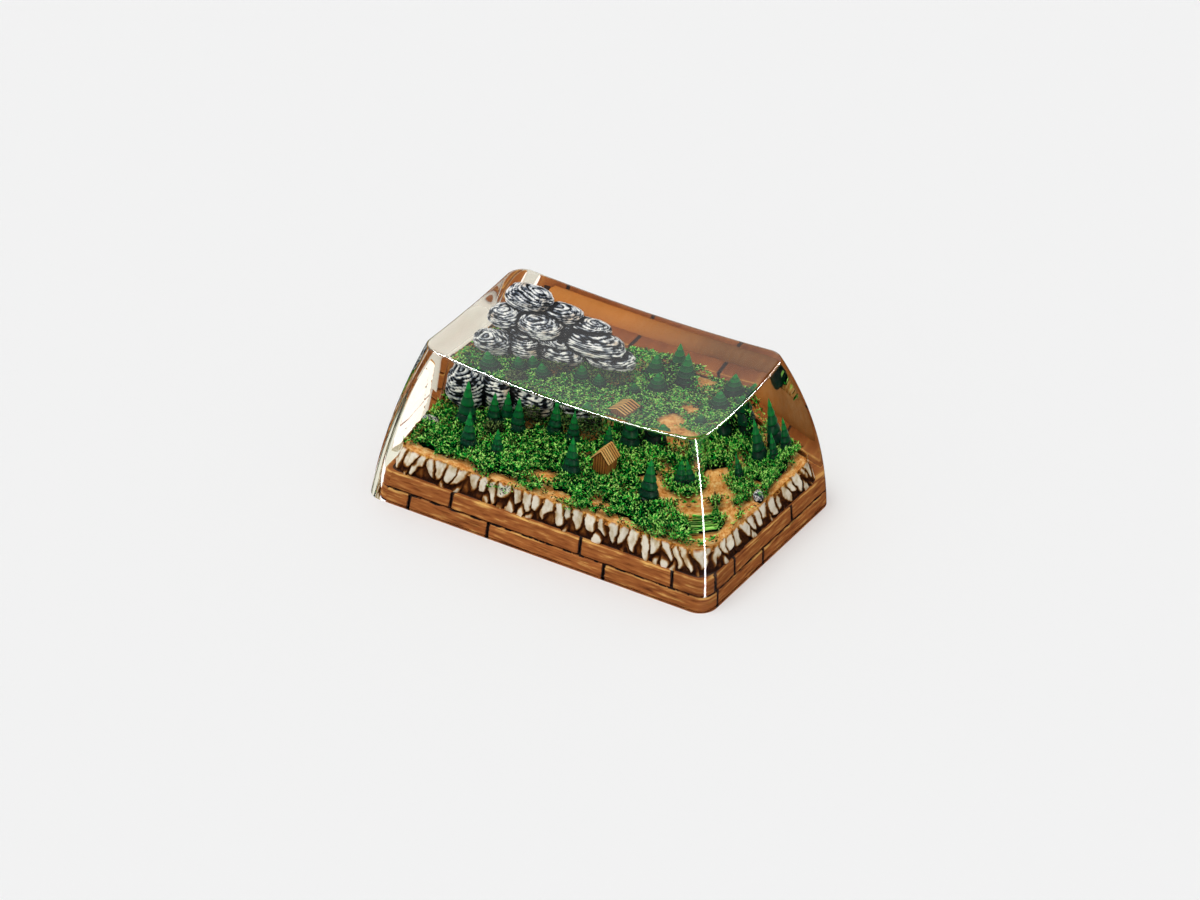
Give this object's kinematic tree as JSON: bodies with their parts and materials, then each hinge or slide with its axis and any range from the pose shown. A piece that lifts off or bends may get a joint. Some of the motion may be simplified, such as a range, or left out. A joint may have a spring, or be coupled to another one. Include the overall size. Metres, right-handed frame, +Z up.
{
  "type": "artisan keycap",
  "caption": "Wide resin keycap with a dished top over a sealed landscape: plank base, cliff, pines, boulders and cabin; cross socket below.",
  "frame": {"origin": "Middle of the bottom rim's box, on the plane that the keycap stands on.", "axes": "+X along the long side to the right, -Y towards the typist, +Z up through the dished top."},
  "size_m": [0.03, 0.0183, 0.0127],
  "materials": {
    "clear_resin": "polished clear cast resin",
    "plank_base": "cast resin painted as brown planks",
    "cliff_rock": "cast resin painted as cream stone with dark washes and sand",
    "boulder_rock": "cast resin painted as grey layered rock",
    "cabin_wood": "cast resin painted as boards",
    "pine_green": "green tinted cast resin",
    "foliage_flock": "ground foam and fibre flock"
  },
  "bodies": {
    "root": {"resin_body": "clear_resin", "plank_base": "plank_base", "cliff_terrain": "cliff_rock", "boulder_pile": "boulder_rock", "left_stone": "boulder_rock", "right_stone": "boulder_rock", "cabin": "cabin_wood", "pine_01": "pine_green", "pine_02": "pine_green", "pine_03": "pine_green", "pine_04": "pine_green", "pine_05": "pine_green", "pine_06": "pine_green", "pine_07": "pine_green", "pine_08": "pine_green", "pine_09": "pine_green", "pine_10": "pine_green", "pine_11": "pine_green", "pine_12": "pine_green", "pine_13": "pine_green", "pine_14": "pine_green", "pine_15": "pine_green", "pine_16": "pine_green", "pine_17": "pine_green", "pine_18": "pine_green", "pine_19": "pine_green", "pine_20": "pine_green", "foliage_01": "foliage_flock", "foliage_02": "foliage_flock", "foliage_03": "foliage_flock", "foliage_04": "foliage_flock", "foliage_05": "foliage_flock", "foliage_06": "foliage_flock", "foliage_07": "foliage_flock", "foliage_08": "foliage_flock", "foliage_09": "foliage_flock", "foliage_10": "foliage_flock", "foliage_11": "foliage_flock", "foliage_12": "foliage_flock"}
  },
  "joints": []
}
